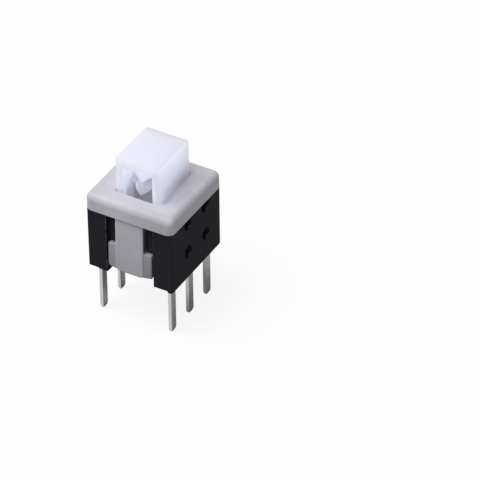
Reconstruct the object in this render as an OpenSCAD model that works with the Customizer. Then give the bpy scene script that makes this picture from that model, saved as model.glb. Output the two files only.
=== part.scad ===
// Self-locking push button switch: a two-pole changeover switch in a square
// snap-together case, with six flat pins for a circuit board.
// Millimetres. X runs along the front, Y to the back, Z up. The origin is the
// centre of the footprint, in the plane where the case sits on the board.

/* [Case] */
// Width of the base across its two terminal walls
base_w = 5.6; // [5.4:0.1:7.5]
// Depth of the base from its front to its back
base_d = 5.6; // [5.2:0.1:7.5]
// Radius of the base's upright edges
base_edge_r = 0.1; // [0.05:0.05:0.3]
// Width of the open channel between the terminal walls, front and back
channel_w = 3.1; // [2.9:0.1:3.6]
// Height of the standoff pads under the terminal walls
pad_h = 0.1; // [0.05:0.05:0.3]
// Height of the floor's underside above the board
floor_z = 0.5; // [0.3:0.1:0.8]
// Thickness of the floor
floor_t = 0.5; // [0.4:0.1:0.8]

/* [Wall holes] */
// Diameter of each hole behind a contact
hole_d = 0.75; // [0.5:0.05:0.8]
// Width of the chamfer round each hole's mouth
hole_chamfer = 0.12; // [0.05:0.01:0.15]
// Height of the lower row of holes above the board
hole_z = 1.8; // [1.6:0.05:2]
// Distance of the upper row of holes below the cover's skirt
hole_drop = 0.4; // [0.4:0.02:0.8]
// Distance between the two holes of a row
hole_pitch = 2; // [1.6:0.1:2.2]
// How far the holes and contacts sit towards the back of centre
contact_y = 0.14; // [-0.1:0.02:0.2]

/* [Cover] */
// How far the cover stands out past the base all round
cover_over = 0.1; // [0.05:0.01:0.2]
// Height of the cover's skirt and top together
cover_h = 1.1; // [1:0.05:1.5]
// Thickness of the cover's top
cover_top_t = 0.45; // [0.3:0.05:0.5]
// Thickness of the cover's skirt
skirt_t = 0.35; // [0.25:0.05:0.4]
// Radius of the cover's upright corners
cover_corner_r = 0.54; // [0.45:0.01:0.7]
// Radius of the cover's top edges
cover_edge_r = 0.42; // [0.3:0.01:0.44]
// Thickness of the two snap tabs
tab_t = 0.4; // [0.3:0.05:0.45]
// Width of a snap tab's strip
strip_w = 1.9; // [1.6:0.1:2.1]
// Height of a snap tab's lower end above the board
tab_z = 0.46; // [0.3:0.02:0.6]
// Height of a snap tab's wings
wing_h = 1.92; // [1.6:0.02:2.2]
// How far the wings stand back from the strip
wing_set = 0.12; // [0.1:0.02:0.25]
// Radius of the wings' lower corners
wing_corner_r = 0.26; // [0.1:0.02:0.4]

/* [Button] */
// Width of the button
button_w = 2.9; // [2.7:0.1:3.1]
// How far the button stands above the cover when it is fully down
button_proud = 0.35; // [0.3:0.05:1]
// Radius of the button's edges
button_edge_r = 0.2; // [0.1:0.05:0.3]
// Full travel of the button
travel = 2; // [1.6:0.1:2.4]

/* [Latch] */
// Diameter of the latch wire
wire_d = 0.36; // [0.3:0.02:0.4]
// Offset of the latch wire's tip to the left with the button up
latch_home = 0.45; // [0.4:0.01:0.5]
// Offset of the latch wire's tip to the left with the button down
latch_end = 0.6; // [0.55:0.01:0.66]
// How deep the latch wire reaches into the cam recess
latch_reach = 0.44; // [0.38:0.02:0.46]
// Depth of the cam recess
cam_depth = 1; // [0.8:0.05:1.1]
// Depth of the heart's face below the button's front
heart_depth = 0.3; // [0.2:0.02:0.34]
// Distance of the cam recess's right side from the centre
cam_right = 1; // [0.9:0.01:1.1]

/* [Terminals] */
// Distance between neighbouring pins in a row
pin_pitch = 2; // [1.6:0.05:2.2]
// Distance between the two rows of pins
row_gap = 4.66; // [4.5:0.02:4.8]
// How far the rows sit towards the back of centre
row_y = -0.06; // [-0.15:0.01:0.1]
// Width of a pin along its row
pin_w = 0.54; // [0.45:0.01:0.65]
// Thickness of the terminal strip
pin_t = 0.22; // [0.18:0.01:0.28]
// Length of the pins below the board's surface
pin_len = 3.3; // [2.5:0.1:4.5]

/* [Spring] */
// Outer diameter of the return spring
spring_od = 1.4; // [1.2:0.05:1.5]
// Diameter of the spring's wire
spring_wire = 0.18; // [0.12:0.01:0.2]
// Number of turns of the spring
spring_turns = 8; // [5:0.5:8]

/* [Hidden] */
$fn = 48;

// How far a cut passes the face it opens, and how far a joined piece sinks in.
eps = 0.01;
past = 1;

// Clearances between the parts.
run_gap = 0.06;          // button in the cover's opening
slide_gap = 0.07;        // plunger in the base's cavity, front and back
flange_gap = 0.12;       // plunger's flanges beside the terminal walls
snap_gap = 0.05;         // cover's skirt round the base's rim, and a tab's shoulder
stop_gap = 0.05;         // plunger's flanges under the cover
wing_gap = 0.12;         // a tab's wing beside the terminal wall
contact_gap = 0.05;      // a moving contact's finger from its terminal
pivot_gap = 0.03;        // latch wire in its bore
block_gap = 0.03;        // pivot block from the button's front plane
tab_wire_gap = 0.12;     // latch wire behind the front tab
plunger_wire_gap = 0.145; // latch wire in front of the plunger
tip_gap = 0.07;          // latch wire's tip under the cover
cam_gap = 0.12;          // latch wire from the sides of the cam recess
notch_gap = 0.03;        // latch wire from the heart's notch when it is locked
bottom_gap = 0.15;       // plunger above the floor at full travel
bore_gap = 0.1;          // return spring in the plunger's bore
boss_gap = 0.07;         // return spring round its boss
peg_gap = 0.02;          // moving contact's plate round its peg

// Case levels.
base_hw = base_w / 2;
base_hd = base_d / 2;
floor_top = floor_z + floor_t;
shoulder_z = hole_z + travel + hole_drop;
cover_z = shoulder_z + cover_h;
cover_under = cover_z - cover_top_t;
rim_top = cover_under - snap_gap;
cover_w = base_w + 2 * cover_over;
cover_d = base_d + 2 * cover_over;
rim_w = cover_w - 2 * (skirt_t + snap_gap);
rim_d = cover_d - 2 * (skirt_t + snap_gap);
pad_half = 0.62;

// The room in front of the plunger holds the tab and the latch wire.
front_room = tab_t + tab_wire_gap + wire_d + plunger_wire_gap;
button_d = base_d - 2 * front_room;
button_hw = button_w / 2;
button_hd = button_d / 2;
button_top = cover_z + travel + button_proud;

// The cavity is as wide as the space between the terminals' inner faces.
cavity_hw = row_gap / 2 - pin_t / 2;
cavity_hd = button_hd + slide_gap;
strip_hw = strip_w / 2;
wing_hw = channel_w / 2 - wing_gap;
wing_top = tab_z + wing_h;
wing_grip = 0.35;        // wing's back from the cavity's end
wing_back = cavity_hd + wing_grip;
ledge_z = wing_top + snap_gap;
ledge_x = strip_hw + snap_gap;
ledge_front = base_hd - tab_t + snap_gap;
floor_hd = wing_back - wing_gap;

// Plunger levels, with the button up.
flange_t = 0.35;
foot_t = 0.25;
foot_over = 0.3;
carrier_over = 0.45;     // flange past a contact's middle, front and back
plunger_z = floor_top + travel + bottom_gap;
flange_top = cover_under - stop_gap;
flange_hw = cavity_hw - flange_gap;
foot_hw = button_hw + foot_over;
contact_top = flange_top - flange_t;
contact_bottom = plunger_z + foot_t;
contact_mid = (contact_top + contact_bottom) / 2;
carrier_half = hole_pitch / 2 + carrier_over;

// Moving contacts: a plate on a peg, and two fingers that bow out from it.
contact_t = 0.12;
finger_w = 0.5;
finger_over = 0.12;      // how far a finger's free end stands off the plate
finger_steps = 16;
peg_d = 0.4;
peg_len = 0.25;

// Latch wire: a staple that pivots in the base and follows the cam.
wire_r = wire_d / 2;
wire_bend_r = wire_d * 0.75;
pivot_rise = 0.45;
pivot_grip = 0.65;
pivot_z = floor_top + pivot_rise;
latch_tip_z = cover_under - wire_r - tip_gap;
latch_arm = latch_tip_z - pivot_z;
latch_lean = atan(latch_home / latch_arm);
shank_y = -(button_hd + plunger_wire_gap + wire_r);
shank_len = latch_arm / cos(latch_lean);
block_hw = 0.5;
block_front = button_hd + block_gap;
block_back = button_hd - pivot_grip;
block_top = pivot_z + wire_r + 0.2;

// Heart cam, measured from the latch tip's own height with the button up.
lock_travel = travel * 0.75;
cam_left = latch_end + wire_r + cam_gap;
cam_top = latch_tip_z + travel + wire_r + 0.27;
heart_left = latch_end - wire_r - cam_gap - 0.02;
heart_right = 0.6;
heart_tip_x = 0.03;
heart_notch_x = 0.16;
heart_notch = latch_tip_z + lock_travel - wire_r - notch_gap;
heart_tip = heart_notch - 0.61;
heart_low = heart_tip + 0.3;
heart_high = heart_notch + 0.18;
tooth_tip = cam_top - 0.6;
tooth_x = 0.36;
tooth_left = -0.05;
tooth_right = 0.78;
tooth_end = cam_top - 0.2;
ramp_depth = 0.52;
ramp_low = heart_tip - 0.2;
ramp_high = heart_high - 0.1;
ramp_right = -heart_left - 0.05;

// Spring.
spring_y = 0.35;
spring_seat = plunger_z + 2;
bore_d = spring_od + 2 * bore_gap;
boss_d = spring_od - 2 * (spring_wire + boss_gap);
boss_h = 0.4;

// Terminal plates: each terminal has a contact zone behind its wall holes.
zone_half = 0.48;
zone_low = hole_z - 0.5;
zone_mid_low = hole_z + 0.6;
zone_mid_high = hole_z + travel - 0.85;
zone_high = shoulder_z - 0.06;
front_zone_y = contact_y - hole_pitch / 2;
rear_zone_y = contact_y + hole_pitch / 2;
bar_gap = 0.2;
riser_over = 0.4;        // common pin's riser into its lower zone

// ---------------------------------------------------------------- helpers

// A rectangle with rounded corners, centred.
module rounded_plan(w, d, r) {
    square([w - 2 * r, d], center = true);
    square([w, d - 2 * r], center = true);
    for (sx = [-1, 1], sy = [-1, 1])
        translate([sx * (w / 2 - r), sy * (d / 2 - r)]) circle(r);
}

// A box given by its two corners.
module span(low, high) {
    translate(low) cube(high - low);
}

// Front and back copies.
module both_ends() {
    children();
    mirror([0, 1, 0]) children();
}

// Left and right copies.
module both_sides() {
    children();
    mirror([1, 0, 0]) children();
}

// ---------------------------------------------------------------- terminals

// The strip's outline in the Y-Z plane for the pin at y; pin tips are round.
module pin_outline(y, top) {
    translate([y - pin_w / 2, pin_w / 2 - pin_len]) square([pin_w, top + pin_len - pin_w / 2]);
    translate([y, pin_w / 2 - pin_len]) circle(pin_w / 2);
}

// Front terminal: riser in the corner post and the upper front contact zone.
module front_outline() {
    y = row_y - pin_pitch;
    pin_outline(y, zone_high);
    translate([y, zone_mid_high])
        square([front_zone_y + zone_half - y, zone_high - zone_mid_high]);
}

// Rear terminal: a short riser and the lower rear contact zone.
module rear_outline() {
    y = row_y + pin_pitch;
    pin_outline(y, zone_mid_low);
    translate([rear_zone_y - zone_half, zone_low])
        square([y - rear_zone_y + zone_half, zone_mid_low - zone_low]);
}

// Common terminal: a bar that joins the lower front and upper rear zones.
module common_outline() {
    bar_low = front_zone_y + zone_half + bar_gap;
    bar_high = rear_zone_y - zone_half - bar_gap;
    pin_outline(row_y, zone_low + riser_over);
    translate([front_zone_y - zone_half, zone_low])
        square([bar_high - front_zone_y + zone_half, zone_mid_low - zone_low]);
    translate([bar_low, zone_low]) square([bar_high - bar_low, zone_high - zone_low]);
    translate([bar_low, zone_mid_high])
        square([rear_zone_y + zone_half - bar_low, zone_high - zone_mid_high]);
}

// Stands an outline up as a strip in the right-hand row.
module strip_plate() {
    translate([cavity_hw, 0, 0])
        rotate([90, 0, 90])
            linear_extrude(pin_t) children();
}

module terminal_front() { strip_plate() front_outline(); }
module terminal_common() { strip_plate() common_outline(); }
module terminal_rear() { strip_plate() rear_outline(); }

module terminal_right_front() { color("silver") terminal_front(); }
module terminal_right_common() { color("silver") terminal_common(); }
module terminal_right_rear() { color("silver") terminal_rear(); }
module terminal_left_front() { color("silver") mirror([1, 0, 0]) terminal_front(); }
module terminal_left_common() { color("silver") mirror([1, 0, 0]) terminal_common(); }
module terminal_left_rear() { color("silver") mirror([1, 0, 0]) terminal_rear(); }

// ---------------------------------------------------------------- base

// One hole through the right-hand wall to the terminal, with its chamfer.
module wall_hole(y, z) {
    mouth_r = hole_d / 2 + hole_chamfer;
    translate([cavity_hw + pin_t - eps, y, z]) rotate([0, 90, 0])
        cylinder(d = hole_d, h = base_hw - cavity_hw - pin_t + 2 * eps);
    translate([base_hw - hole_chamfer, y, z]) rotate([0, 90, 0])
        cylinder(r1 = hole_d / 2, r2 = mouth_r, h = hole_chamfer + eps);
}

// A standoff pad beside each pin, on one side of the strip in each wall.
module pads() {
    for (i = [-1, 0, 1]) {
        y = row_y + i * pin_pitch;
        low = max(y - pad_half, -base_hd + (i < 0 ? 0 : base_edge_r));
        high = min(y + pad_half, base_hd - base_edge_r);
        span([-cavity_hw, low, 0], [-channel_w / 2, high, pad_h + eps]);
        span([cavity_hw + pin_t, low + (i < 0 ? base_edge_r : 0), 0],
             [base_hw, high, pad_h + eps]);
    }
}

// The pivot block for the latch wire and the boss inside the return spring.
module floor_fittings() {
    span([-block_hw, -block_front, floor_z], [block_hw, -block_back, block_top]);
    translate([0, spring_y, floor_top - eps]) cylinder(d = boss_d, h = boss_h + eps);
}

// The case with its cavity, its two end channels and the ledges for the tabs.
module base_shell() {
    difference() {
        union() {
            translate([0, 0, pad_h])
                linear_extrude(shoulder_z - pad_h) rounded_plan(base_w, base_d, base_edge_r);
            translate([0, 0, shoulder_z - eps])
                linear_extrude(rim_top - shoulder_z + eps)
                    rounded_plan(rim_w, rim_d, base_edge_r);
        }
        span([-cavity_hw, -cavity_hd, floor_top], [cavity_hw, cavity_hd, rim_top + past]);
        both_ends() {
            // channel in front of the ledges
            span([-channel_w / 2, -base_hd - past, -past],
                 [channel_w / 2, -ledge_front, rim_top + past]);
            // gap between the ledges for the strip and the latch wire
            span([-ledge_x, -ledge_front - eps, -past], [ledge_x, -cavity_hd + eps, rim_top + past]);
            // room under the ledges for the wings
            span([-channel_w / 2, -ledge_front - eps, -past], [channel_w / 2, -floor_hd, ledge_z]);
            span([-channel_w / 2, -floor_hd - eps, floor_top],
                 [channel_w / 2, -cavity_hd + eps, ledge_z]);
        }
        // underside of the floor
        span([-channel_w / 2, -base_hd - past, -past], [channel_w / 2, base_hd + past, floor_z]);
    }
}

module base() {
    color("#26262b")
    difference() {
        union() {
            base_shell();
            pads();
            floor_fittings();
        }
        // pivot bore for the latch wire
        translate([0, -block_front - eps, pivot_z]) rotate([-90, 0, 0])
            cylinder(d = wire_d + 2 * pivot_gap, h = block_front - block_back + 2 * eps);
        both_sides() {
            terminal_front();
            terminal_common();
            terminal_rear();
            for (y = [front_zone_y, rear_zone_y], z = [hole_z, hole_z + travel])
                wall_hole(y, z);
        }
    }
}

// ---------------------------------------------------------------- cover

// One corner post of the cover's outer form, with its rounded top edge.
module cover_corner() {
    side = cover_corner_r + past;
    rotate_extrude($fn = 32)
        difference() {
            union() {
                square([cover_corner_r, cover_h - cover_edge_r]);
                square([cover_corner_r - cover_edge_r, cover_h]);
                translate([cover_corner_r - cover_edge_r, cover_h - cover_edge_r])
                    circle(cover_edge_r, $fn = 32);
            }
            translate([-past, -past]) square([past, cover_h + 2 * past]);
            translate([-past, -past]) square([side + past, past]);
        }
}

// A snap tab at the front: a strip with two wings that catch under the ledges.
module tab() {
    span([-strip_hw, -base_hd, tab_z], [strip_hw, -base_hd + tab_t, cover_under + eps]);
    translate([0, -wing_back, 0]) rotate([90, 0, 0])
        linear_extrude(base_hd - wing_set - wing_back)
            difference() {
                translate([-wing_hw, tab_z]) square([2 * wing_hw, wing_h]);
                translate([-strip_hw, tab_z - eps])
                    square([2 * strip_hw, wing_h + 2 * eps]);
                for (s = [-1, 1])
                    translate([s * (wing_hw - wing_corner_r), tab_z + wing_corner_r])
                        difference() {
                            translate([s > 0 ? 0 : -past, -past]) square(past);
                            circle(wing_corner_r);
                        }
            }
    // web that joins each wing to the strip
    span([-strip_hw - eps, -base_hd + wing_set, tab_z],
         [strip_hw + eps, -base_hd + tab_t, wing_top]);
}

module cover() {
    color("#b4b4bc") {
        difference() {
            translate([0, 0, shoulder_z]) hull()
                for (sx = [-1, 1], sy = [-1, 1])
                    translate([sx * (cover_w / 2 - cover_corner_r),
                               sy * (cover_d / 2 - cover_corner_r), 0])
                        cover_corner();
            span([-cover_w / 2 + skirt_t, -cover_d / 2 + skirt_t, shoulder_z - past],
                 [cover_w / 2 - skirt_t, cover_d / 2 - skirt_t, cover_under]);
            translate([0, 0, shoulder_z])
                linear_extrude(cover_h + past)
                    rounded_plan(button_w + 2 * run_gap, button_d + 2 * run_gap,
                                 button_edge_r + run_gap);
        }
        both_ends() tab();
    }
}

// ---------------------------------------------------------------- plunger

// The button's outer form with its rounded edges.
module button_block() {
    r = button_edge_r;
    hull() {
        for (sx = [-1, 1], sy = [-1, 1])
            translate([sx * (button_hw - r), sy * (button_hd - r), 0]) {
                translate([0, 0, plunger_z]) cylinder(r = r, h = 1, $fn = 32);
                translate([0, 0, button_top - r]) sphere(r, $fn = 32);
            }
    }
}

// The cam recess's outline in X-Z, with the tooth that hangs from its top.
module cam_outline() {
    polygon([[-cam_left, plunger_z - past], [cam_right, plunger_z - past],
             [cam_right, cam_top], [tooth_right, tooth_end], [tooth_x, tooth_tip],
             [tooth_left, cam_top], [-cam_left, cam_top]]);
}

// The heart-shaped island that holds the latch wire in its notch.
module heart_outline() {
    polygon([[heart_tip_x, heart_tip], [heart_right, heart_low + 0.15],
             [heart_right, heart_high], [heart_notch_x, heart_notch],
             [-heart_left, heart_high], [-heart_left, heart_low]]);
}

// Extrudes an X-Z outline backwards from the given depth behind the button's front.
module cam_cut(depth, thickness) {
    translate([0, -button_hd + depth + thickness, 0]) rotate([90, 0, 0])
        linear_extrude(thickness) children();
}

// The ramp on the left lane's floor: it rises upwards and ends in a step.
module lane_ramp() {
    lane_y = -button_hd + cam_depth;
    translate([-cam_left, 0, 0]) rotate([90, 0, 90])
        linear_extrude(ramp_right + cam_left)
            polygon([[lane_y + eps, ramp_low], [lane_y + eps, ramp_high],
                     [-button_hd + ramp_depth, ramp_high]]);
}

// Flanges that hold the moving contacts, and a peg for each of them.
module carrier() {
    both_sides() {
        span([button_hw - eps, contact_y - carrier_half, contact_top],
             [flange_hw, contact_y + carrier_half, flange_top]);
        span([button_hw - eps, contact_y - carrier_half, plunger_z],
             [foot_hw, contact_y + carrier_half, contact_bottom]);
        translate([button_hw - eps, contact_y, contact_mid])
            rotate([0, 90, 0]) cylinder(d = peg_d, h = peg_len);
    }
}

module plunger() {
    color("#e6e7f0")
    difference() {
        union() {
            difference() {
                button_block();
                cam_cut(-past, cam_depth + past) cam_outline();
            }
            cam_cut(heart_depth, cam_depth - heart_depth + eps) heart_outline();
            lane_ramp();
            carrier();
        }
        translate([0, spring_y, plunger_z - past])
            cylinder(d = bore_d, h = spring_seat - plunger_z + past);
    }
}

// ---------------------------------------------------------------- latch pin

// A quarter bend of wire: from +Z at the origin towards +Y.
module wire_bend() {
    translate([0, wire_bend_r, 0]) rotate([90, 0, -90])
        rotate_extrude(angle = 90) translate([wire_bend_r, 0]) circle(wire_r);
}

module latch_pin() {
    tip_y = -button_hd + latch_reach;
    root_y = -block_back;
    color("#c9c9cc")
    translate([0, 0, pivot_z]) rotate([0, -latch_lean, 0]) translate([0, shank_y, 0]) {
        translate([0, 0, wire_bend_r]) cylinder(r = wire_r, h = shank_len - 2 * wire_bend_r);
        translate([0, 0, shank_len - wire_bend_r]) wire_bend();
        mirror([0, 0, 1]) translate([0, 0, -wire_bend_r]) wire_bend();
        translate([0, wire_bend_r, shank_len]) rotate([-90, 0, 0])
            cylinder(r = wire_r, h = tip_y - shank_y - wire_bend_r);
        translate([0, wire_bend_r, 0]) rotate([-90, 0, 0])
            cylinder(r = wire_r, h = root_y - shank_y - wire_bend_r);
    }
}

// ---------------------------------------------------------------- contacts

// A finger's inner line: it bows out from the plate to the terminal and back.
function bow(t) =
    let (top = contact_top - 2 * eps, low = contact_bottom + 4 * eps,
         out = cavity_hw - contact_gap - contact_t - button_hw)
    [button_hw + out * sin(180 * min(1, t * 1.12)) + finger_over * max(0, t - 0.6),
     top - t * (top - low)];

module moving_contact() {
    half = (hole_pitch + finger_w) / 2;
    // plate, with the hole that the plunger's peg fills
    difference() {
        span([button_hw, contact_y - half, contact_bottom + eps],
             [button_hw + contact_t, contact_y + half, contact_top - eps]);
        translate([button_hw - past, contact_y, contact_mid])
            rotate([0, 90, 0]) cylinder(d = peg_d + 2 * peg_gap, h = 2 * past);
    }
    for (y = [front_zone_y, rear_zone_y])
        translate([0, y + finger_w / 2, 0]) rotate([90, 0, 0])
            linear_extrude(finger_w)
                polygon([for (i = [0 : finger_steps]) bow(i / finger_steps),
                         for (i = [finger_steps : -1 : 0])
                             bow(i / finger_steps) + [contact_t, 0]]);
}

module moving_contact_right() { color("#d9c48c") moving_contact(); }
module moving_contact_left() { color("#d9c48c") mirror([1, 0, 0]) moving_contact(); }

// ---------------------------------------------------------------- spring

// A wire of radius r swept along a helix, as rings of points joined in turn.
module helix(radius, r, z_low, z_high, turns, sides = 8, steps = 12) {
    n = ceil(turns * steps);
    pitch = (z_high - z_low - 2 * r) / turns;
    rise = atan(pitch / (2 * PI * radius));
    ring = [for (i = [0 : n]) let (a = 360 * turns * i / n)
            [for (k = [0 : sides - 1]) let (b = 360 * k / sides,
                u = radius + r * cos(b), v = r * sin(b))
                [u * cos(a) + v * sin(rise) * sin(a), u * sin(a) - v * sin(rise) * cos(a),
                 z_low + r + pitch * turns * i / n + v * cos(rise)]]];
    polyhedron(
        points = [for (c = ring) each c],
        faces = [[for (k = [0 : sides - 1]) k],
                 for (i = [0 : n - 1], k = [0 : sides - 1])
                     let (a = i * sides + k, b = i * sides + (k + 1) % sides)
                     [a, a + sides, b + sides, b],
                 [for (k = [sides - 1 : -1 : 0]) n * sides + k]],
        convexity = 10);
}

module return_spring() {
    color("#b9babd")
    translate([0, spring_y, 0])
        helix((spring_od - spring_wire) / 2, spring_wire / 2, floor_top, spring_seat,
              spring_turns);
}

// ---------------------------------------------------------------- assembly

base();
cover();
plunger();
return_spring();
latch_pin();
moving_contact_left();
moving_contact_right();
terminal_left_front();
terminal_left_common();
terminal_left_rear();
terminal_right_front();
terminal_right_common();
terminal_right_rear();
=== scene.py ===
"""Looks of a self-locking push button switch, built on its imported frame.

Lengths are worked out in millimetres and written to the meshes in metres. X runs
along the front, Y to the back, Z up, and the board's surface is at Z = 0.
"""

import bmesh
import bpy
import numpy as np
from mathutils import Matrix, Vector


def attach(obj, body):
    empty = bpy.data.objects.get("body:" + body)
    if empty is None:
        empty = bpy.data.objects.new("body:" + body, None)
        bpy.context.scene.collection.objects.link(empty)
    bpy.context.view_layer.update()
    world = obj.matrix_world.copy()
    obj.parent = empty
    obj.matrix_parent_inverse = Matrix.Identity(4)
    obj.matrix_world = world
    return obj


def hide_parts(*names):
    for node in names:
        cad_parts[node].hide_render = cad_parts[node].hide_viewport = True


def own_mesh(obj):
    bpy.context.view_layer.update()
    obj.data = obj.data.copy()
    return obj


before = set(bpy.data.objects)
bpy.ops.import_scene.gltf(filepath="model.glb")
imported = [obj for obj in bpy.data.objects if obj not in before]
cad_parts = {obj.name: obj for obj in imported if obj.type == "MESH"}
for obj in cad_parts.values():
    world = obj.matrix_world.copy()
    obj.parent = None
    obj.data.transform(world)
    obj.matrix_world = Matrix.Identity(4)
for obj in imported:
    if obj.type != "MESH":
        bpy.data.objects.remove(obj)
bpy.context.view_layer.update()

scene = bpy.context.scene
scene.view_settings.view_transform = "Standard"

# ---------------------------------------------------------------- camera
# A long lens from the right of the front, well above the switch, turned a
# hair anticlockwise. The switch stands to the left of the view's middle.
AZIMUTH, ELEVATION, ROLL = np.radians([29.91, 37.47, 0.54])
VIEW_OFFSET = (-4.958, -0.772, -204.3)      # switch's origin as the camera sees it
BOARD_RISE = 0.08                           # board's surface above that origin
FOCAL_LENGTH, SENSOR_WIDTH = 262.5, 36.0
NEAREST, FARTHEST = 0.01, 10.0              # what the lens takes in, in metres
MM = 1e-3                                   # a millimetre in metres

back = np.array([np.sin(AZIMUTH) * np.cos(ELEVATION),
                 -np.cos(AZIMUTH) * np.cos(ELEVATION), np.sin(ELEVATION)])
right = np.array([np.cos(AZIMUTH), np.sin(AZIMUTH), 0.0])
up = np.cross(back, right)
roll = np.array([[np.cos(ROLL), -np.sin(ROLL), 0.0],
                 [np.sin(ROLL), np.cos(ROLL), 0.0],
                 [0.0, 0.0, 1.0]])
axes = roll @ np.array([right, up, back])
place = -axes.T @ VIEW_OFFSET + (0.0, 0.0, BOARD_RISE)
lens = bpy.data.cameras.new("camera")
lens.lens, lens.sensor_width = FOCAL_LENGTH, SENSOR_WIDTH
lens.clip_start, lens.clip_end = NEAREST, FARTHEST
camera = bpy.data.objects.new("camera", lens)
turn = np.eye(4)
turn[:3, :3], turn[:3, 3] = axes.T, place * MM
camera.matrix_world = Matrix(turn)
scene.collection.objects.link(camera)
scene.camera = camera

# ---------------------------------------------------------------- case
# The black case is one moulding of glass-filled nylon: two terminal walls joined
# by a floor, with corner posts, ledges for the cover's tabs and a pivot block.
# The walls' holes were left by the pins that held the terminals in the mould.
BASE_HALF = 2.8
CHANNEL_HALF, CAVITY_X, CAVITY_Y = 1.55, 2.22, 1.845
WALL_FOOT, SHOULDER, RIM_TOP, RIM_HALF, RIM_EDGE_R = 0.1, 4.2, 4.8, 2.5, 0.045
FLOOR_LOW, FLOOR_TOP, FLOOR_Y = 0.5, 1.0, 2.075
LEDGE_X, LEDGE_FRONT, LEDGE_Z, LEDGE_TOP = 1.0, 2.53, 2.25, 4.78
BLOCK_HALF, BLOCK_FRONT, BLOCK_BACK, BLOCK_TOP = 0.5, 1.805, 1.125, 1.83
BOSS_Y, BOSS_R, BOSS_TOP, BOSS_CHAMFER = 0.35, 0.45, 1.4, 0.08
WALL_R, CHANNEL_R, EDGE_R = 0.07, 0.06, 0.05    # outer corners, channel's mouth, most others
HOLE_Y, HOLE_Z, HOLE_PITCH = (-0.86, 1.14), (1.8, 3.8), 2.0
HOLE_R, MOUTH_R, MOUTH_DEPTH, HOLE_END = 0.375, 0.44, 0.11, 2.43
FLASH_R, FLASH_SUNK, FLASH_LOW, FLASH_HIGH = 0.022, 0.008, 0.4, 4.1
NUB_R, NUB_Z, NUB_HEIGHT = 0.03, 0.78, 0.05
SUNK, SUNK_DEEP = 0.1, 0.2          # how far a part runs into the one it joins
PAST = 0.3                          # how far a cutter runs out past the face
# The rails that the case stands on: inside the left wall, and outside the right one.
RAILS = [((-CAVITY_X, 0.06 - BASE_HALF), (-CHANNEL_HALF, BASE_HALF - 0.06), 0.06),
         ((CAVITY_X + 0.22, -BASE_HALF), (BASE_HALF, BASE_HALF), 0.12)]
# The second colour is a painted highlight, for the flash and the holes' rims.
CASE_BLACK, CASE_HIGHLIGHT = (0.0265, 0.0270, 0.0335, 1.0), (0.16, 0.163, 0.17, 1.0)


def soft_outline(corners, radius, steps=4):
    """Points and outward normals of an anticlockwise outline with rounded corners.
    Each corner becomes an arc. Its centre stands a radius away from both sides, on
    the inside of the turn, and the direction of travel turns evenly along the arc."""
    corners = np.asarray(corners, float)
    radius = np.broadcast_to(np.asarray(radius, float), len(corners))[:, None]
    leaving = np.roll(corners, -1, 0) - corners
    leaving /= np.linalg.norm(leaving, axis=1, keepdims=True)
    arriving = np.roll(leaving, 1, 0)
    bend = np.arctan2(arriving[:, 0] * leaving[:, 1] - arriving[:, 1] * leaving[:, 0],
                      (arriving * leaving).sum(1))[:, None]
    heading = np.arctan2(arriving[:, 1:], arriving[:, :1]) + bend * np.linspace(0, 1, steps + 1)
    normals = np.stack([np.sin(heading), -np.cos(heading)], -1)
    reach = (np.sign(bend) * radius)[:, None]
    start = corners - arriving * radius * np.tan(np.abs(bend) / 2)
    points = start[:, None] + reach * (normals - normals[:, :1])
    return points.reshape(-1, 2), normals.reshape(-1, 2)


def rectangle(low, high, radius, steps=4):
    """The rounded outline of the rectangle between two corners."""
    (u0, v0), (u1, v1) = low, high
    return soft_outline([(u0, v0), (u1, v0), (u1, v1), (u0, v1)], radius, steps)


def quarter(steps):
    """A quarter circle of radius 1, as its insets and its rises: 1 less the sine and
    1 less the cosine of an even angle."""
    t = np.linspace(0, np.pi / 2, steps + 1)
    return np.stack([1 - np.sin(t), 1 - np.cos(t)])


def rounded_ends(low, high, r_low, r_high, steps=4):
    """(inset, height) rows of a path that rounds the low and the high edge by a
    quarter circle each."""
    inset, rise = quarter(steps)
    return np.concatenate([np.stack([r_low * inset, low + r_low * rise], 1),
                           np.stack([r_high * inset, high - r_high * rise], 1)[::-1]])


def ring_quads(rows, cols, wrap_rows=False):
    """Corner numbers of the quads between closed rings, whose points are numbered ring
    by ring. wrap_rows joins the last ring to the first."""
    row = np.arange(rows if wrap_rows else rows - 1)[:, None]
    col = np.arange(cols)
    above, beside = (row + 1) % rows, (col + 1) % cols
    return np.stack([row * cols + col, row * cols + beside, above * cols + beside, above * cols + col],
                    -1).reshape(-1, 4)


def capped(rings):
    """A closed solid, as (points, blocks of faces): rings of equally many points, joined
    one to the next, with a flat cap on the first and on the last."""
    rows, cols = rings.shape[:2]
    first = np.arange(cols)[None]
    last = (rows - 1) * cols + first
    return rings.reshape(-1, 3), [ring_quads(rows, cols), first[:, ::-1], last]


def stacked(u, v, height, facing="up"):
    """A closed solid of flat rings. u and v hold a ring's points in each row, and each
    row has its own height, up, or out through the front or the right side."""
    w = np.broadcast_to(height, u.shape)
    axes = {"up": (u, v, w), "front": (u, -w, v), "right": (w, u, v)}[facing]
    return capped(np.stack(axes, -1))


def carry(outline, path, facing="up"):
    """A closed solid: an outline carried along a path of (inset, height) rows. Each
    point moves against its outward normal by the inset."""
    points, normals = outline
    inset, height = np.asarray(path, float).T[:, :, None]
    u, v = np.moveaxis(points - inset[..., None] * normals, -1, 0)
    return stacked(u, v, height, facing)


def turned(profile, centre, facing="up", sides=40):
    """A closed solid of revolution: (radius, height) rows carried round an axis. A ring's
    points stand at the radius times the cosine and the sine of an even angle."""
    radius, height = np.asarray(profile, float).T[:, :, None]
    angle = np.linspace(0, 2 * np.pi, sides, endpoint=False)
    return stacked(centre[0] + radius * np.cos(angle), centre[1] + radius * np.sin(angle), height, facing)


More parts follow.
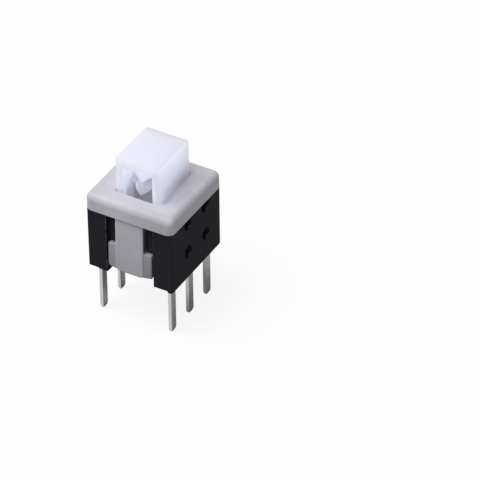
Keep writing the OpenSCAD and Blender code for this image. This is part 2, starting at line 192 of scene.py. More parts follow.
def mirrored(shell):
    """The same solid on the other side of X = 0, its faces turned to point outwards again."""
    points, faces = shell
    return points * (-1, 1, 1), [block[:, ::-1] for block in faces]


def around(shell):
    """The same solid turned half a turn about Z."""
    points, faces = shell
    return points * (-1, -1, 1), faces


SAME_POINT = 1e-5                   # closer points are one
SHARP_FROM = np.radians(35)         # edges that turn more than this stay sharp
FLAT_WEIGHT = 90                    # how much a large face decides its corners' shading


def solid(name, shell):
    """An object of one closed shell, in millimetres, with the doubled points merged."""
    points, faces = shell
    mesh = bpy.data.meshes.new(name)
    mesh.from_pydata(points, [], [corners for block in faces for corners in block.tolist()])
    work = bmesh.new()
    work.from_mesh(mesh)
    bmesh.ops.remove_doubles(work, verts=work.verts, dist=SAME_POINT)
    work.to_mesh(mesh)
    work.free()
    made = bpy.data.objects.new(name, mesh)
    scene.collection.objects.link(made)
    return made


def combine(body, shells, operation):
    """Joins the shells to the body (UNION) or cuts them from it (DIFFERENCE), for good."""
    tools = [solid("tool", shell) for shell in shells]
    for tool in tools:
        cut = body.modifiers.new("tool", "BOOLEAN")
        cut.operation, cut.object, cut.solver = operation, tool, "EXACT"
    done = bpy.data.meshes.new_from_object(body.evaluated_get(bpy.context.evaluated_depsgraph_get()))
    body.modifiers.clear()
    old, body.data = body.data, done
    bpy.data.meshes.remove(old)
    for tool in tools:
        bpy.data.meshes.remove(tool.data)
    return body


def finish_piece(piece, body, nodes, material):
    """Brings a piece to metres, shades it smooth with its flat faces kept flat, and
    puts it in the frame in the place of its CAD nodes."""
    mesh = piece.data
    mesh.transform(Matrix.Scale(MM, 4))
    mesh.materials.clear()
    mesh.materials.append(material)
    mesh.shade_smooth()
    mesh.set_sharp_from_angle(angle=SHARP_FROM)
    even = piece.modifiers.new("flat faces", "WEIGHTED_NORMAL")
    even.weight, even.keep_sharp = FLAT_WEIGHT, True
    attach(piece, body)
    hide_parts(*nodes)


class Value:
    """One output in a material's node tree. Arithmetic on it adds Math nodes."""

    def __init__(self, tree, socket=None):
        self.tree, self.socket = tree, socket

    def node(self, kind, inputs, settings=(), out=0):
        """Adds one node: its settings are made first, then each input is set or linked."""
        made = self.tree.nodes.new("ShaderNode" + kind)
        for key, value in dict(settings).items():
            setattr(made, key, value)
        for key, value in inputs.items():
            if isinstance(value, Value):
                self.tree.links.new(value.socket, made.inputs[key])
            else:
                made.inputs[key].default_value = value
        return Value(self.tree, made.outputs[out] if len(made.outputs) else None)

    def math(self, operation, first, second):
        """One Math node, on values or numbers."""
        return self.node("Math", {0: first, 1: second}, {"operation": operation})

    def __add__(self, other):
        return self.math("ADD", self, other)

    def __radd__(self, other):
        return self.math("ADD", other, self)

    def __sub__(self, other):
        return self.math("SUBTRACT", self, other)

    def __rsub__(self, other):
        return self.math("SUBTRACT", other, self)

    def __mul__(self, other):
        return self.math("MULTIPLY", self, other)

    def __rmul__(self, other):
        return self.math("MULTIPLY", other, self)

    def __abs__(self):
        return self.math("ABSOLUTE", self, 0.0)

    def axis(self, number):
        """One part of this position or direction: 0 is X, 1 is Y and 2 is Z."""
        return self.node("SeparateXYZ", {0: self}, out=number)

    def millimetres(self):
        """X, Y and Z of this position, turned from metres to millimetres."""
        return (self.axis(number) * (1 / MM) for number in range(3))

    def facing_right(self):
        """How far the surface faces right: the X part of its normal, from -1 to 1."""
        return self.node("TexCoord", {}, out="Normal").axis(0)

    def noise(self, scale, detail, roughness=0.5):
        """Noise at this position, from 0 to 1, with the given number of swells a metre."""
        return self.node("TexNoise", {"Vector": self, "Scale": scale, "Detail": detail,
                                      "Roughness": roughness})

    def ramp(self, low, high, to_low=0.0, to_high=1.0):
        """This value moved smoothly from one range to another, and held at its ends."""
        return self.node("MapRange", {"Value": self, "From Min": low, "From Max": high,
                                      "To Min": to_low, "To Max": to_high},
                         {"interpolation_type": "SMOOTHSTEP"})

    def tint(self, first, second):
        """The colour that goes from the first to the second as this value goes from 0 to 1."""
        return self.node("Mix", {0: self, 6: first, 7: second},
                         {"data_type": "RGBA", "clamp_factor": False}, out=2)


def new_material(name):
    """A material with an empty node tree, as (material, blank value, object coordinates).
    The blank value has no output of its own: other nodes are added through it."""
    material = bpy.data.materials.new(name)
    material.use_nodes = True
    material.node_tree.nodes.clear()
    blank = Value(material.node_tree)
    return material, blank, blank.node("TexCoord", {}, out="Object")


def shaded(colour, factor):
    """The colour made darker or lighter by a factor, opaque."""
    return (*(part * factor for part in colour[:3]), 1.0)


def moulded(name, colour, roughness, grain, grain_depth, mottle, deep, own_share, fixed, glow=None):
    """Moulded plastic: a colour that drifts by the mottle from place to place, a satin
    face whose gloss drifts with it, and the fine spark-eroded grain of the mould as bump.
    own_share turns the object coordinates into a share of painted light and shade, which is 1 where the
    plastic has its own colour, 0 where it takes the deep one, and above 1 where it is painted lighter.
    deep is the colour painted in: a shade on the cover and the button, a highlight on the case. fixed
    holds what is the same all over. glow is a painted glow: an emission that stands in for the light that
    comes through a translucent moulding, and it follows the same share."""
    material, blank, place = new_material(name)
    drift = place.noise(420.0, detail=3.0, roughness=0.55)      # patches of about 2 mm
    fine = place.noise(grain, detail=2.0, roughness=0.6)
    paint = drift.ramp(0.3, 0.7).tint(shaded(colour, 1 - mottle), shaded(colour, 1 + mottle))
    share = own_share(place)
    inputs = {"Base Color": share.tint(deep, paint),
              "Roughness": roughness + (drift - 0.5) * 0.12 + (fine - 0.5) * 0.08,
              "Normal": blank.node("Bump", {"Height": fine, "Strength": 0.5, "Distance": grain_depth})}
    # A painted glow: emission that stands in for light coming through the plastic.
    if glow:
        inputs["Emission Color"] = share.tint(shaded(glow, 0.0), glow)
    blank.node("OutputMaterial", {"Surface": blank.node("BsdfPrincipled", {**inputs, **fixed})})
    return material


def case_painted_highlights(place):
    """1 on the moulded skin. It falls towards a painted highlight in broken lengths along the flash on
    the walls' inner edges, and on the lower back of each hole's rim, which catches the light."""
    x, y, z = place.millimetres()
    wide, deep = abs(x), abs(y)
    broken = place.noise(2600.0, detail=2.0).ramp(0.42, 0.56)   # lengths of about 0.4 mm
    flash = wide.ramp(CHANNEL_HALF - 0.05, CHANNEL_HALF - 0.02)
    flash = flash * wide.ramp(CHANNEL_HALF + 0.05, CHANNEL_HALF + 0.025)
    flash = flash * deep.ramp(BASE_HALF - 0.03, BASE_HALF - 0.005) * broken
    # The distances behind and above the nearest hole's middle.
    behind, above = (along.node("Math", {0: along - first, 1: HOLE_PITCH / 2, 2: -HOLE_PITCH / 2},
                                {"operation": "WRAP"})
                     for along, first in ((y, HOLE_Y[0]), (z, HOLE_Z[0])))
    squared = behind * behind + above * above
    rim = squared.ramp(0.10, 0.14) * squared.ramp(MOUTH_R ** 2, MOUTH_R ** 2 - 0.03)
    low_back = above.ramp(-0.12, -0.32) * behind.ramp(0.04, 0.2)
    on_wall = wide.ramp(BASE_HALF - 0.16, BASE_HALF - 0.08) * deep.ramp(2.0, 1.9) * z.ramp(1.1, 1.2)
    # Painted highlights: the flash and the lower back of the holes' rims are painted lighter.
    return 1 - flash * 0.75 - rim * on_wall * low_back * 0.5


case_black = moulded("case_black", CASE_BLACK, roughness=0.48, grain=9000.0, grain_depth=4e-6,
                     mottle=0.12, deep=CASE_HIGHLIGHT, own_share=case_painted_highlights,
                     fixed={"Specular IOR Level": 0.025})

wall_outline = [(BASE_HALF, -BASE_HALF), (BASE_HALF, BASE_HALF), (CHANNEL_HALF, BASE_HALF),
                (CHANNEL_HALF, CAVITY_Y), (CAVITY_X, CAVITY_Y), (CAVITY_X, -CAVITY_Y),
                (CHANNEL_HALF, -CAVITY_Y), (CHANNEL_HALF, -BASE_HALF)]
rim_outline = [(np.clip(x, -RIM_HALF, RIM_HALF), np.clip(y, -RIM_HALF, RIM_HALF))
               for x, y in wall_outline]
wall_radii = [WALL_R, WALL_R, CHANNEL_R, EDGE_R, EDGE_R, EDGE_R, EDGE_R, CHANNEL_R]
wall = carry(soft_outline(wall_outline, wall_radii),
             rounded_ends(FLOOR_TOP - SUNK_DEEP, SHOULDER, 0.0, 0.02))
wall_foot = carry(rectangle((CHANNEL_HALF, -BASE_HALF), (BASE_HALF, BASE_HALF),
                            [CHANNEL_R, WALL_R, WALL_R, CHANNEL_R]),
                  rounded_ends(WALL_FOOT, FLOOR_TOP, EDGE_R, 0.0))
rim = carry(soft_outline(rim_outline, wall_radii),
            rounded_ends(SHOULDER - SUNK - SUNK_DEEP, RIM_TOP, 0.0, RIM_EDGE_R))
ledge = carry(rectangle((LEDGE_X, -LEDGE_FRONT), (CHANNEL_HALF + SUNK_DEEP, SUNK - CAVITY_Y), EDGE_R),
              rounded_ends(LEDGE_Z, LEDGE_TOP, 0.04, RIM_EDGE_R))
floor_plate = carry(rectangle((-CHANNEL_HALF - SUNK_DEEP, -FLOOR_Y),
                              (CHANNEL_HALF + SUNK_DEEP, FLOOR_Y), EDGE_R),
                    rounded_ends(FLOOR_LOW, FLOOR_TOP, 0.045, 0.03))
block = carry(rectangle((-BLOCK_HALF, -BLOCK_FRONT), (BLOCK_HALF, -BLOCK_BACK), 0.06),
              rounded_ends(FLOOR_LOW + SUNK, BLOCK_TOP, 0.0, EDGE_R))
boss = turned([(BOSS_R, FLOOR_TOP - SUNK), (BOSS_R, BOSS_TOP - BOSS_CHAMFER),
               (BOSS_R - BOSS_CHAMFER, BOSS_TOP)], (0.0, BOSS_Y))
rails = [carry(rectangle(low, high, radius), rounded_ends(0.0, WALL_FOOT + SUNK_DEEP, EDGE_R, 0.0))
         for low, high, radius in RAILS]


def flash_line():
    """The thin line of flash that the mould left on the left wall's front inner edge. Its
    radius swells and thins with height as a product of two sines, and swells by a bell
    curve into the broken gate's nub near the foot."""
    z = np.linspace(FLASH_LOW, FLASH_HIGH, 90)
    radius = FLASH_R * (1 + 0.55 * np.sin(9.0 * z + 1.0) * np.sin(23.0 * z))
    radius += NUB_R * np.exp(-((z - NUB_Z) / NUB_HEIGHT) ** 2)
    edge = (-CHANNEL_HALF - FLASH_SUNK, FLASH_SUNK - BASE_HALF)
    return turned(np.stack([radius, z], 1), edge, sides=12)


def hole_tool(y, z):
    """A round cutter from inside the wall to past its face: straight, then opening
    along a rounded chamfer to the mouth's radius at the face."""
    inset, rise = quarter(6)
    mouth = np.stack([HOLE_R + (MOUTH_R - HOLE_R) * rise, BASE_HALF - MOUTH_DEPTH * inset], 1)
    return turned([(HOLE_R, HOLE_END), *mouth, (MOUTH_R, BASE_HALF + PAST)], (y, z), "right", sides=48)


case_parts = [mirrored(wall), wall_foot, mirrored(wall_foot), rim, mirrored(rim), ledge, mirrored(ledge),
              around(ledge), around(mirrored(ledge)), floor_plate, block, boss, flash_line(),
              around(flash_line()), *rails]
holes = [hole_tool(y, z) for y in HOLE_Y for z in HOLE_Z]
case = combine(solid("case", wall), case_parts, "UNION")
case = combine(case, holes + [mirrored(hole) for hole in holes], "DIFFERENCE")
finish_piece(case, "housing", ["base"], case_black)

# ---------------------------------------------------------------- cover
# The cover is a grey moulding that snaps down over the case. Its thick rim is
# rounded on every side, and two tabs hang from it: each is a strip with a wing
# on either side that has sprung out under the case's ledges.
COVER_HALF, COVER_TOP, COVER_UNDER = 2.9, 5.3, 4.85
COVER_CORNER_R, COVER_EDGE_R = 0.45, 0.42
SKIRT_INSIDE, SKIRT_INSIDE_R, SKIRT_EDGE_R = 2.55, 0.19, 0.04
OPENING, OPENING_R, OPENING_EDGE_R = (1.51, 1.835), 0.26, 0.04
STRIP_HALF, STRIP_BACK, STRIP_FOOT_R, STRIP_TOP_R = 0.94, 2.4, 0.3, 0.16
TAB_FOOT, TAB_SPRING = 0.46, 0.085
WING_HALF, WING_TOP, WING_FRONT, WING_BACK = 1.46, 2.22, 2.72, 2.195
WING_ROOT, WING_BEND, WING_RISE = 0.3, 0.72, 0.13       # its foot is level up to the bend
RIGHT_CUT, LEFT_CUT = (0.03, 0.19), (0.07, 0.3)         # lower corners: inset and rise
# The second colour is the painted shade on the tabs, the front and the top.
COVER_GREY, COVER_SHADE = (0.640, 0.630, 0.690, 1.0), (0.125, 0.118, 0.15, 1.0)


def cover_shell():
    """The cover without its tabs: one closed band of rounded rectangles, carried up
    the opening's wall, out across the top, over the edge by a quarter circle, down
    the skirt, and back inside along the skirt's inner wall and the top's underside.
    Each row is half a width, half a depth, a corner radius and a height."""
    inset, rise = quarter(4)[..., None]
    rim_inset, rim_rise = quarter(10)[..., None] * COVER_EDGE_R
    opening = np.array([*OPENING, OPENING_R])
    outside = np.array([COVER_HALF, COVER_HALF, COVER_CORNER_R])
    inside = (SKIRT_INSIDE, SKIRT_INSIDE, SKIRT_INSIDE_R)
    rows = np.concatenate([
        [(*opening, COVER_UNDER)],
        np.hstack([opening + OPENING_EDGE_R * rise, COVER_TOP - OPENING_EDGE_R * inset]),
        np.hstack([outside - rim_inset, COVER_TOP - rim_rise]),
        np.hstack([outside - SKIRT_EDGE_R * rise, SHOULDER + SKIRT_EDGE_R * inset]),
        [(*inside, SHOULDER), (*inside, COVER_UNDER)]])
    rings = np.array([rectangle((-half, -depth), (half, depth), corner, steps=8)[0]
                      for half, depth, corner, _ in rows])
    grid = np.dstack([rings, np.broadcast_to(rows[:, 3:], rings.shape[:2])])
    return grid.reshape(-1, 3), [ring_quads(*rings.shape[:2], wrap_rows=True)[:, ::-1]]


def sprung(shell):
    """The tab after it has snapped past the case's edge: it leans out in proportion to
    the distance below the skirt, by the whole spring at its foot."""
    points, faces = shell
    out = TAB_SPRING * (SHOULDER - points[:, 2]) / (SHOULDER - TAB_FOOT)
    return points - np.stack([0 * out, out, 0 * out], 1), faces


strip = carry(rectangle((-STRIP_HALF, TAB_FOOT), (STRIP_HALF, COVER_UNDER + SUNK),
                        [STRIP_FOOT_R, STRIP_FOOT_R, STRIP_TOP_R, STRIP_TOP_R], steps=8),
              rounded_ends(STRIP_BACK, BASE_HALF, 0.03, 0.1, steps=8), "front")


def wing(inset, rise):
    """A tab's right wing. Its foot rises slowly outwards from the bend, and its lower
    corner is cut back by the inset, up to the rise above the foot. The radii at the cut
    grow in proportion to the rise."""
    corners = [(WING_ROOT, TAB_FOOT), (WING_BEND, TAB_FOOT), (WING_HALF - inset, TAB_FOOT + WING_RISE),
               (WING_HALF, TAB_FOOT + rise), (WING_HALF, WING_TOP), (WING_ROOT, WING_TOP)]
    radii = [0.05, 0.6, 0.1 * rise / RIGHT_CUT[1], 0.05 * rise / RIGHT_CUT[1], 0.07, 0.05]
    return carry(soft_outline(corners, radii, steps=8),
                 rounded_ends(WING_BACK, WING_FRONT, 0.04, 0.05, steps=6), "front")


def cover_painted_light(place):
    """Painted light and shade on the cover: 1 where none is painted. On the tabs a painted shade falls
    across the thin wings, more on the strip's own sides, and a little towards the foot, and a painted
    highlight rises on the strip's rounded left edge. On the front a painted shade falls slowly to the
    right, and painted light rises at the right corner. On the top a painted shade falls slowly to the
    right and again at the right edge, and painted light rises to the right of the button and behind it,
    against the button's shadow."""
    x, y, z = place.millimetres()
    wide, facing = abs(x), place.facing_right()
    on_tab = z.ramp(SHOULDER - 0.01, SHOULDER - 0.08)
    on_wing = z.ramp(WING_TOP + 0.08, WING_TOP + 0.03)
    # Painted shade across the tab's wings.
    wings = (wide.ramp(STRIP_HALF + 0.01, STRIP_HALF + 0.04, 0.0, 0.28)
             + wide.ramp(WING_HALF - 0.16, WING_HALF - 0.02, 0.0, 0.16)) * on_wing
    # Painted shade on the strip's sides, by the way they face.
    sides = abs(facing).ramp(0.8, 0.98) * (1 - on_wing) * 0.82
    # Painted highlight on the strip's rounded left edge.
    left_edge = facing.ramp(-0.15, -0.45) * facing.ramp(-0.97, -0.85) * (1 - on_wing) * 0.4
    # Painted shade, a little more towards the tab's foot.
    foot = z.ramp(3.4, 0.4, 0.07, 0.24)
    # Painted shade across the front, falling to the right, and painted light at its right corner.
    front = y.ramp(-2.4, -2.6) * (x.ramp(-1.0, 2.6, 0.0, 0.15) - x.ramp(2.35, 2.85, 0.0, 0.3))
    # Painted shade at the top's right edge.
    right_edge = x.ramp(1.9, 2.3) * y.ramp(-2.1, -1.2) * y.ramp(1.3, -0.5) * 0.13
    # Painted light beside and behind the button, against its shadow.
    by_button = x.ramp(-1.0, 1.6) * x.ramp(2.35, 1.7) * y.ramp(2.6, 1.8, 0.2, 1.0)
    by_button = by_button * (y.ramp(-1.6, -0.8, 0.0, 0.26) + y.ramp(0.6, 1.8, 0.0, 0.26))
    top = z.ramp(4.9, 5.25) * (x.ramp(-2.5, -0.5, 0.03, 0.09) + right_edge - by_button)
    return 1 - front - top - on_tab * (sides + wings + foot - left_edge)


cover_grey = moulded("cover_grey", COVER_GREY, roughness=0.5, grain=7000.0, grain_depth=3e-6,
                     mottle=0.06, deep=COVER_SHADE, own_share=cover_painted_light,
                     fixed={"Specular IOR Level": 0.36, "Subsurface Weight": 0.15,
                            "Subsurface Scale": 3e-4, "Subsurface Radius": (1.0, 1.0, 1.0)})
tab = [sprung(shell) for shell in (strip, wing(*RIGHT_CUT), mirrored(wing(*LEFT_CUT)))]
cover = combine(solid("grey_cover", cover_shell()), tab + [around(shell) for shell in tab], "UNION")
finish_piece(cover, "housing", ["cover"], cover_grey)

# ---------------------------------------------------------------- button
# The button is one white, slightly translucent moulding. Its front holds the cam
# recess with the heart that the latch wire runs round, and inside the case it
# carries a flange on each side and a bore for the return spring.
BUTTON_HALF, BUTTON_DEPTH, BUTTON_FOOT, BUTTON_TOP, BUTTON_R = 1.45, 1.775, 3.15, 7.65, 0.2
# The outlines of the recess and of the heart on the front: (x, z) corners and their radii.
CAM = [(-0.90, 2.15), (1.0, 2.15), (1.0, 7.05), (0.78, 6.85), (0.31, 6.39), (-0.15, 7.05), (-0.90, 7.05)]
CAM_RADII = [0.05, 0.05, 0.04, 0.3, 0.08, 0.05, 0.06]
HEART = [(0.04, 5.23), (0.60, 5.73), (0.60, 6.07), (0.16, 5.89), (-0.28, 6.07), (-0.28, 5.58)]
HEART_RADII = [0.04, 0.05, 0.05, 0.03, 0.05, 0.05]
CAM_DEPTH, CAM_EDGE_R, HEART_DEPTH = 1.0, 0.05, 0.3
RAMP_LOW, RAMP_HIGH, RAMP_LEFT, RAMP_RIGHT, RAMP_DEPTH = 5.08, 5.97, -0.95, -0.33, 0.52
SIDE_ROOT, SIDE_FRONT, SIDE_BACK, SIDE_EDGE_R = 1.3, -1.31, 1.59, 0.04
SIDE_PARTS = [(2.1, 4.45, 4.8), (1.75, BUTTON_FOOT, 3.4)]   # flange and foot: reach, low, high
PEG_R, PEG_END, PEG_CHAMFER, PEG_YZ = 0.2, 1.7, 0.02, (0.14, 3.925)
BORE_R, BORE_TOP = 0.8, 5.15
# The second colour is a painted shade. The glow is a painted glow: emission that stands in for light
# coming through the plastic.
BUTTON_WHITE, BUTTON_SHADE = (0.60, 0.605, 0.70, 1.0), (0.385, 0.345, 0.225, 1.0)
BUTTON_PAINTED_GLOW = (0.20, 0.205, 0.24, 1.0)

stem = carry(rectangle((-BUTTON_HALF, -BUTTON_DEPTH), (BUTTON_HALF, BUTTON_DEPTH), BUTTON_R, steps=8),
             rounded_ends(BUTTON_FOOT, BUTTON_TOP, 0.02, BUTTON_R - 1e-3, steps=8))
cam_floor = BUTTON_DEPTH - CAM_DEPTH
inset, rise = quarter(4) * CAM_EDGE_R
cam = carry(soft_outline(CAM, CAM_RADII),
            [(0.0, cam_floor), *zip(-rise, BUTTON_DEPTH - inset), (-CAM_EDGE_R, BUTTON_DEPTH + PAST)],
            "front")
bore = turned([(BORE_R, BUTTON_FOOT - PAST), (BORE_R, BORE_TOP)], (0.0, BOSS_Y))
heart = carry(soft_outline(HEART, HEART_RADII),
              rounded_ends(cam_floor - SUNK, BUTTON_DEPTH - HEART_DEPTH, 0.0, 0.05), "front")
ramp = carry(soft_outline([(SUNK - cam_floor, RAMP_LOW), (SUNK - cam_floor, RAMP_HIGH),
                           (RAMP_DEPTH - BUTTON_DEPTH, RAMP_HIGH), (-cam_floor, RAMP_LOW)], 0.02),
             rounded_ends(RAMP_LEFT, RAMP_RIGHT, 0.0, 0.015), "right")
side_parts = [carry(rectangle((SIDE_ROOT, SIDE_FRONT), (reach, SIDE_BACK), 0.05),
                    rounded_ends(low, high, SIDE_EDGE_R, SIDE_EDGE_R)) for reach, low, high in SIDE_PARTS]
peg = turned([(PEG_R, SIDE_ROOT), (PEG_R, PEG_END - PEG_CHAMFER), (PEG_R - PEG_CHAMFER, PEG_END)],
             PEG_YZ, "right", sides=24)


def button_painted_light(place):
    """Painted light and shade on the button: 1 on its top. It is above 1 where light is painted on,
    standing in for light that comes through the translucent plastic: on the front, most of all round the
    cam's tooth, on the right face, and on the recess's left wall and the lane above the ramp. A painted
    shade falls with the depth in the recess and towards its foot, and low on the right face towards the
    back. Where two faces meet, the product of their shares is taken off as painted shade, so that the
    rounded edges are no lighter than the faces."""
    x, y, z = place.millimetres()
    recess = x.ramp(-0.96, -0.92) * x.ramp(1.02, 0.99) * y.ramp(0.0, -0.2) * z.ramp(7.1, 7.0)
    # Painted shade with the depth in the recess.
    depth = (y.ramp(-1.76, -1.60, 0.0, 0.14) + y.ramp(-1.46, -1.0, 0.0, 0.06)
             + y.ramp(-1.56, -1.48) * y.ramp(-1.40, -1.44) * z.ramp(5.35, 5.9, -0.16, 0.08))
    # Painted shade towards the recess's foot.
    foot = y.ramp(-1.46, -1.40) * (z.ramp(5.9, 5.0, 0.0, 0.36)
                                   + x.ramp(0.0, -0.4) * z.ramp(6.0, 5.4, 0.0, 0.14))
    # Painted light on the recess's left wall and the lane above the ramp.
    left_wall = x.ramp(-0.80, -0.88) * y.ramp(-1.79, -1.72, 0.0, 0.35)
    lane = x.ramp(-0.2, -0.6) * z.ramp(6.1, 6.7, 0.0, 0.2)
    inside = left_wall + lane - foot - x.ramp(-0.89, -0.40) * depth
    # Painted light on the right face, with painted shade low towards its back.
    right = x.ramp(1.25, 1.46) * (0.66 - z.ramp(7.0, 5.4) * y.ramp(-1.6, 1.4, 0.32, 0.85)
                                  - z.ramp(6.15, 5.5) * y.ramp(-1.7, -0.8, 0.0, 0.22))
    # Painted light on the front, most round the cam's tooth.
    tooth = x.ramp(-0.9, 0.1) * x.ramp(1.4, 1.1) * z.ramp(7.45, 6.8) * z.ramp(5.0, 6.4, 0.06, 0.22)
    front = y.ramp(-1.66, -1.77) * (0.2 + tooth - x.ramp(-0.9, -1.0) * z.ramp(5.9, 5.3, 0.0, 0.16))
    # Painted shade on the rounded edges.
    at_side, at_front, at_top = (
        along.ramp(end - BUTTON_R, end)
        for along, end in ((abs(x), BUTTON_HALF), (abs(y), BUTTON_DEPTH), (z, BUTTON_TOP)))
    edges = (at_side * at_front + at_front * at_top + at_top * at_side) * 0.26
    return 1 + right + front - edges + recess * inside


button_white = moulded("button_white", BUTTON_WHITE, roughness=0.5, grain=6000.0, grain_depth=2e-6,
                       mottle=0.02, deep=BUTTON_SHADE, own_share=button_painted_light, glow=BUTTON_PAINTED_GLOW,
                       fixed={"Specular IOR Level": 0.2, "Subsurface Weight": 1.0,
                              "Subsurface Scale": 4e-3, "Subsurface Radius": (0.8, 0.85, 1.0),
                              "Emission Strength": 1.0})
button = combine(solid("button", stem), [cam, bore], "DIFFERENCE")
on_sides = [shell for part in (*side_parts, peg) for shell in (part, mirrored(part))]
button = combine(button, [heart, ramp, *on_sides], "UNION")
finish_piece(button, "button", ["plunger"], button_white)

# ---------------------------------------------------------------- terminals
# Each terminal is stamped from a strip of tin-plated brass. Its pin has a rounded
# tip, and its upper end is a plate in the wall that a moving contact slides on.
STRIP_X, STRIP_T = 2.33, 0.11
PIN_HALF, PIN_TIP, PLATE_RISE, SECTION_R = 0.27, -3.3, 0.02, 0.035
ZONE_TOP, ZONE_HIGH, ZONE_MID, RISER_TOP, ZONE_LOW = 4.14, 2.95, 2.4, 1.7, 1.3
TIN = (0.93, 0.925, 0.915, 1.0)
# Each pin's middle, and the zones of its plate upwards: (top, front end, back end).
PLATES = {
    "front": (-2.06, [(ZONE_HIGH, -2.33, -1.79), (ZONE_TOP, -2.33, -0.38)]),
    "common": (-0.06, [(ZONE_LOW, -0.33, 0.21), (RISER_TOP, -1.34, 0.46), (ZONE_MID, -1.34, 0.46),
                       (ZONE_HIGH, -0.18, 0.46), (ZONE_TOP, -0.18, 1.62)]),
    "rear": (1.94, [(ZONE_LOW, 1.67, 2.21), (ZONE_MID, 0.66, 2.21)]),
}


def terminal(middle, plates):
    """A strip of rounded sections carried up from the tip. In the tip the width follows
    a blunt half circle (sine to the power 0.65) and the thickness one a little blunter.
    Above it the section widens over a short rise at the foot of each plate. Each row is
    a front end, a back end, half a thickness and a height."""
    t = np.linspace(0.06, np.pi / 2, 12)
    width = PIN_HALF * np.sin(t) ** 0.65
    rows = [np.stack([middle - width, middle + width, STRIP_T * np.sin(t) ** 0.6,
                      PIN_TIP + PIN_HALF * (1 - np.cos(t))], 1)]
    level = PIN_TIP + PIN_HALF
    for top, low, high in plates:
        rows.append([(low, high, STRIP_T, level + PLATE_RISE), (low, high, STRIP_T, top)])
        level = top
    rows = np.concatenate(rows)
    rings = [rectangle((-thick, low), (thick, high),
                       min(SECTION_R, 0.9 * thick, 0.45 * (high - low)), steps=3)[0]
             for low, high, thick, _ in rows]
    x, y = np.moveaxis(rings, -1, 0)
    return stacked(x + STRIP_X, y, rows[:, 3:])


def metal(name, colour, roughness, streak, broad=0.0, inner_shade=0.0):
    """Drawn or plated metal: fine streaks along Z in its gloss and as bump, and a slightly darker bloom
    in places. broad is how much the broad faces, which look along X, are darkened by painted shade and
    made smoother than the sheared edges. The last argument is the painted shade inside the case: how far
    the metal there is darkened, in patches."""
    material, blank, place = new_material(name)
    long = blank.node("Mapping", {"Vector": place, "Scale": (1.0, 1.0, 0.12)})
    fine = long.noise(streak, detail=4.0, roughness=0.6)
    bloom = place.noise(900.0, detail=3.0)                      # patches of about 1 mm
    paint = bloom.ramp(0.35, 0.7).tint(colour, shaded(colour, 0.95))
    gloss = roughness + (fine - 0.5) * 0.1 + (bloom - 0.5) * 0.1
    # Painted shade on the broad faces, with a smoother gloss.
    if broad:
        face = abs(place.facing_right()).ramp(0.5, 0.9)
        paint = (face * broad).tint(paint, shaded(colour, 0.3))
        gloss = gloss - face * 0.08
    # Painted shade on the metal inside the case, in patches.
    if inner_shade:
        inside = place.axis(2).ramp(0.1 * MM, 0.5 * MM) * inner_shade
        patches = place.noise(2400.0, detail=2.0).ramp(0.4, 0.6, 0.82, 1.0)
        paint = (inside * patches).tint(paint, shaded(colour, 0.0))
    shade = blank.node("BsdfPrincipled", {
        "Base Color": paint, "Metallic": 1.0, "Roughness": gloss,
        "Normal": blank.node("Bump", {"Height": fine, "Strength": 0.15, "Distance": 3e-6})})
    blank.node("OutputMaterial", {"Surface": shade})
    return material


tin = metal("tin_plate", TIN, roughness=0.36, streak=9000.0, broad=0.42, inner_shade=0.66)
for name, (middle, plates) in PLATES.items():
    blade = terminal(middle, plates)
    for side, shell in (("left", mirrored(blade)), ("right", blade)):
        pin = solid(f"pin_{side}_{name}", shell)
        finish_piece(pin, "housing", [f"terminal_{side}_{name}"], tin)

# ---------------------------------------------------------------- latch wire
# A staple of hard steel wire. Its lower leg turns in the case's pivot block, and
# its upper leg stands in the cam recess and runs round the heart.
WIRE_R, WIRE_BEND_R = 0.18, 0.27
PIVOT_Z, SHANK_Y, LEG_ROOT, ARM_TIP = 1.45, -2.1, -1.125, -1.335
WIRE_TIP_X, WIRE_TIP_Z, WIRE_END_R = -0.45, 4.60, 0.04
LEG_END = 0.06                      # the last stretch of each leg, where its end is rounded
END_RINGS = 6
STEEL = (0.78, 0.78, 0.79, 1.0)


def tube(centres, side, radius, end_r, sides):
    """A closed wire: a ring of points round each centre. One axis of the ring is the
    given side direction with its part along the wire taken out, and the other is that
    axis crossed with the wire's direction. Each end is rounded by a quarter circle."""
    along = np.gradient(centres, axis=0)
    along /= np.linalg.norm(along, axis=1, keepdims=True)
    inset, rise = quarter(END_RINGS - 1) * end_r
    centres = np.concatenate([centres[0] + rise[:, None] * along[0], centres[1:-1],
                              centres[-1] - rise[::-1, None] * along[-1]])
    along = np.repeat(along, [END_RINGS] + [1] * (len(along) - 2) + [END_RINGS], axis=0)
    radii = np.full((len(centres), 1, 1), radius)
    radii[:END_RINGS, 0, 0] -= inset
    radii[-END_RINGS:, 0, 0] -= inset[::-1]
    out = side - (side * along).sum(1, keepdims=True) * along
    out /= np.linalg.norm(out, axis=1, keepdims=True)
    across = np.cross(along, out)
    angle = np.linspace(0, 2 * np.pi, sides, endpoint=False)[:, None]
    spokes = np.cos(angle) * out[:, None] + np.sin(angle) * across[:, None]
    return capped(centres[:, None] + radii * spokes)


arm = WIRE_TIP_Z - PIVOT_Z
shank = np.hypot(arm, WIRE_TIP_X)
bend = WIRE_BEND_R * quarter(8).T
lower, upper = LEG_ROOT - SHANK_Y, ARM_TIP - SHANK_Y
depth, climb = np.concatenate([[(lower, 0.0), (lower - LEG_END, 0.0)], bend,
                               (0.0, shank) + bend[::-1] * (1, -1),
                               [(upper - LEG_END, shank), (upper, shank)]]).T
lean = np.array([WIRE_TIP_X, arm]) / shank
staple = np.stack([climb * lean[0], SHANK_Y + depth, PIVOT_Z + climb * lean[1]], 1)
steel = metal("spring_steel", STEEL, roughness=0.28, streak=12000.0)
latch = solid("latch_wire", tube(staple, (lean[1], 0.0, -lean[0]), WIRE_R, WIRE_END_R, sides=20))
finish_piece(latch, "latch", ["latch_pin"], steel)

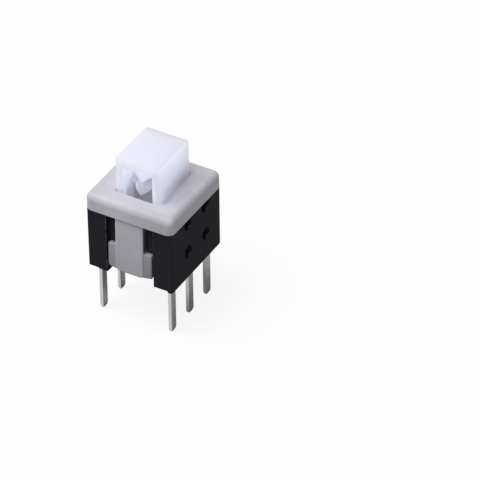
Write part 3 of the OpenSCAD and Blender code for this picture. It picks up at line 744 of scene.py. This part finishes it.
# ---------------------------------------------------------------- return spring
# A compression spring of the same steel, coiled with its end turns closed. It
# stands round the case's boss and pushes up in the button's bore.
COIL_R, COIL_WIRE_R, COIL_END_R = 0.61, 0.09, 0.02
COIL_LOW, COIL_HIGH, COIL_TURNS, TURN_RINGS = 1.0, 5.15, 8, 28
COIL_CLOSED = 0.6                   # how far the end turns close up, from 0 to 1

# The rise lags behind the turn by a sine, so that the coil starts and ends more level.
u = np.linspace(0, 1, COIL_TURNS * TURN_RINGS + 1)
angle = 2 * np.pi * COIL_TURNS * u
rise = u - COIL_CLOSED * np.sin(2 * np.pi * u) / (2 * np.pi)
coil = np.stack([COIL_R * np.cos(angle), BOSS_Y + COIL_R * np.sin(angle),
                 COIL_LOW + COIL_WIRE_R + (COIL_HIGH - COIL_LOW - 2 * COIL_WIRE_R) * rise], 1)
spring = solid("spring", tube(coil, (0.0, 0.0, 1.0), COIL_WIRE_R, COIL_END_R, sides=12))
finish_piece(spring, "housing", ["return_spring"], steel)
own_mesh(spring)

# ---------------------------------------------------------------- contacts
# Two bowed springs of brass strip, one on each side of the button, that slide on
# the terminals' plates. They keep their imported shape.
BRASS = (0.78, 0.60, 0.34, 1.0)

brass = metal("contact_brass", BRASS, roughness=0.3, streak=7000.0)
for node in ("moving_contact_left", "moving_contact_right"):
    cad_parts[node].data.materials.clear()
    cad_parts[node].data.materials.append(brass)

# ---------------------------------------------------------------- stage
# A plain pale floor under the pins, one soft lamp above the front left, and an
# even surround. The floor and the surround look white, but they throw less light
# on the switch than white would.
FLOOR_HALF = 3.0                    # in metres
FLOOR_WHITE, FLOOR_BOUNCE, FLOOR_IN_GLOSS = 0.95, 0.32, 0.62
FLOOR_GLOW = 0.88                   # share of its white that glows; the rest takes the shadow
SURROUND = 0.33                     # the surround's strength where it isn't looked at
LAMP_LEVEL, LAMP_WIDTH, LAMP_FROM = 0.73 * np.pi, np.radians(35), (-0.26, -0.26, 0.85)


def grey(level):
    """A neutral colour of the given level, opaque."""
    return (level, level, level, 1.0)


corners = FLOOR_HALF * np.array([(-1, -1, 0), (1, -1, 0), (1, 1, 0), (-1, 1, 0)])
ground = bpy.data.meshes.new("floor")
ground.from_pydata(corners + (0.0, 0.0, PIN_TIP * MM), [], [(0, 1, 2, 3)])
floor = bpy.data.objects.new("floor", ground)
scene.collection.objects.link(floor)
paper, blank, _ = new_material("floor_paper")
in_view = blank.node("LightPath", {}, out="Is Camera Ray")
in_gloss = blank.node("LightPath", {}, out="Is Glossy Ray")
bounced = in_gloss.tint(grey(FLOOR_BOUNCE), grey(FLOOR_IN_GLOSS))
matt = blank.node("BsdfDiffuse", {"Color": in_view.tint(bounced, grey(FLOOR_WHITE))})
glow = blank.node("Emission", {"Color": grey(1.0), "Strength": 1.0})
mixed = blank.node("MixShader", {0: in_view * FLOOR_GLOW, 1: matt, 2: glow})
blank.node("OutputMaterial", {"Surface": mixed})
ground.materials.append(paper)

world = bpy.data.worlds.new("surround")
scene.world = world
world.use_nodes = True
world.node_tree.nodes.clear()
blank = Value(world.node_tree)
strength = blank.node("LightPath", {}, out="Is Camera Ray").ramp(0, 1, SURROUND, 1.0)
sky = blank.node("Background", {"Color": grey(1.0), "Strength": strength})
blank.node("OutputWorld", {"Surface": sky})

sun = bpy.data.lights.new("lamp", "SUN")
sun.energy, sun.angle = LAMP_LEVEL, LAMP_WIDTH
lamp = bpy.data.objects.new("lamp", sun)
lamp.rotation_euler = Vector(LAMP_FROM).to_track_quat("Z", "Y").to_euler()
scene.collection.objects.link(lamp)
